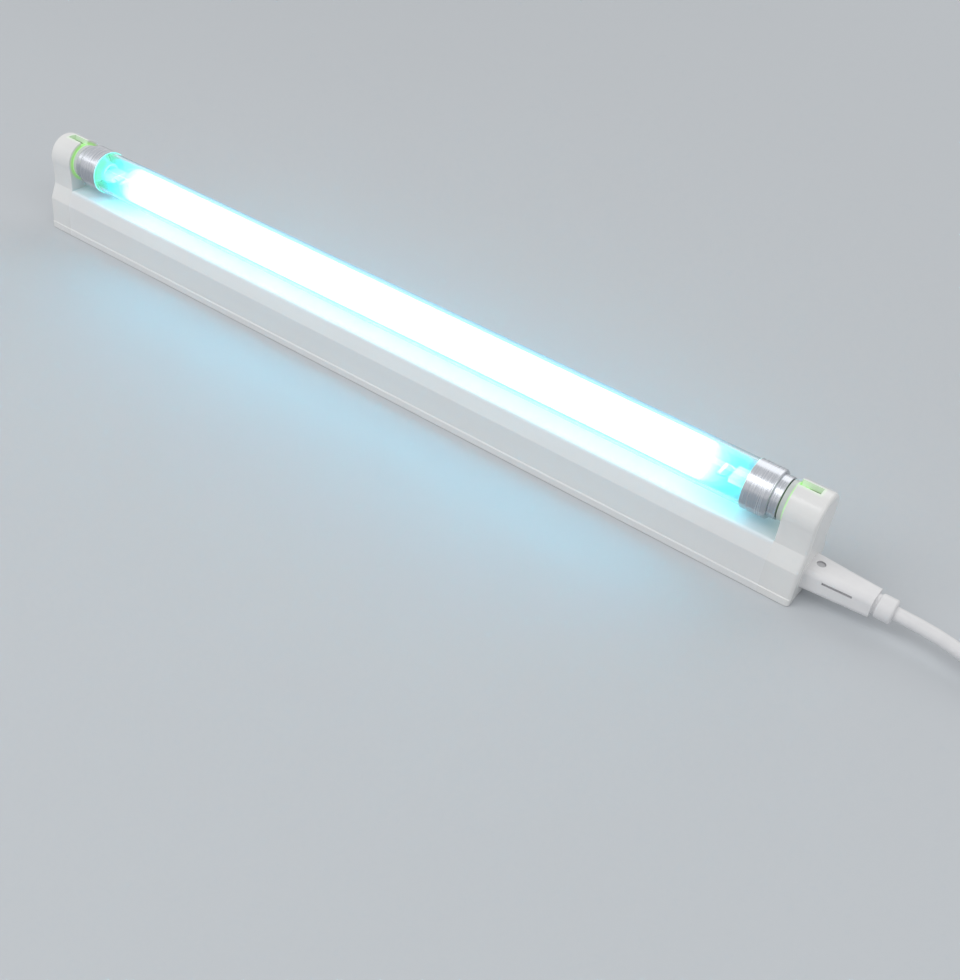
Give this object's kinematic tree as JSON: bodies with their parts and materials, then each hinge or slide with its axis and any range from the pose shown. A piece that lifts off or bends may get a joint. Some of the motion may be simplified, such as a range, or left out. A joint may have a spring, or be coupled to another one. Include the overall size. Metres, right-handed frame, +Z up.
{
  "type": "uv-c tube lamp",
  "caption": "Slim bench lamp: a clear germicidal tube in turning end holders on a white channel body, with a plug-in mains lead.",
  "frame": {"origin": "middle of the underside of the tray, on the surface that the lamp lies on", "axes": "+X along the tube towards the cord end, +Y away from the viewer, +Z up"},
  "size_m": [0.57, 0.0395, 0.035],
  "materials": {
    "body_white": "satin white",
    "end_cap_white": "gloss white",
    "rotor_plastic": "pale green, glows in the lamp's light",
    "quartz": "clear, lit",
    "stem_glass": "clear",
    "cap_aluminium": "satin",
    "plate_insulator": "matt",
    "pin_brass": "bright",
    "contact_strip": "bright",
    "lead_wire": "plain",
    "cathode_coil": "coated",
    "board_green": "satin",
    "ferrite": "matt",
    "copper_winding": "varnished",
    "capacitor_can": "dark sleeve",
    "capacitor_block": "satin",
    "chip_black": "matt",
    "lamp_wire": "plain",
    "inlet_wire": "plain",
    "connector_white": "satin white",
    "cord_white": "satin white",
    "tie_grey": "satin",
    "plug_metal": "bright"
  },
  "bodies": {
    "fixture": {"housing": "body_white", "base_tray": "body_white", "left_end_cap": "end_cap_white", "right_end_cap": "end_cap_white", "inlet_pins": "pin_brass", "connector_sockets": "pin_brass", "left_contacts": "contact_strip", "right_contacts": "contact_strip", "ballast_board": "board_green", "choke_core": "ferrite", "drive_ring": "ferrite", "choke_winding": "copper_winding", "smoothing_capacitor": "capacitor_can", "film_capacitors": "capacitor_block", "transistors": "chip_black", "diodes": "chip_black", "left_lamp_wires": "lamp_wire", "right_lamp_wires": "lamp_wire", "inlet_wires": "inlet_wire", "cord_connector": "connector_white", "plug_body": "connector_white", "cord_lead": "cord_white", "cord_hank": "cord_white", "cord_tie": "tie_grey", "plug_pins": "plug_metal"},
    "lamp": {"glass_tube": "quartz", "left_lamp_cap": "cap_aluminium", "left_pin_plate": "plate_insulator", "left_pins": "pin_brass", "left_leads": "lead_wire", "left_stem": "stem_glass", "left_cathode": "cathode_coil", "left_rotor": "rotor_plastic", "right_lamp_cap": "cap_aluminium", "right_pin_plate": "plate_insulator", "right_pins": "pin_brass", "right_leads": "lead_wire", "right_stem": "stem_glass", "right_cathode": "cathode_coil", "right_rotor": "rotor_plastic"}
  },
  "joints": [
    {"name": "tube_turn", "type": "hinge", "parent": "fixture", "child": "lamp", "pos_m": [0, 0, 0.0272], "axis": [1, 0, 0], "range_deg": [0, 90]}
  ]
}
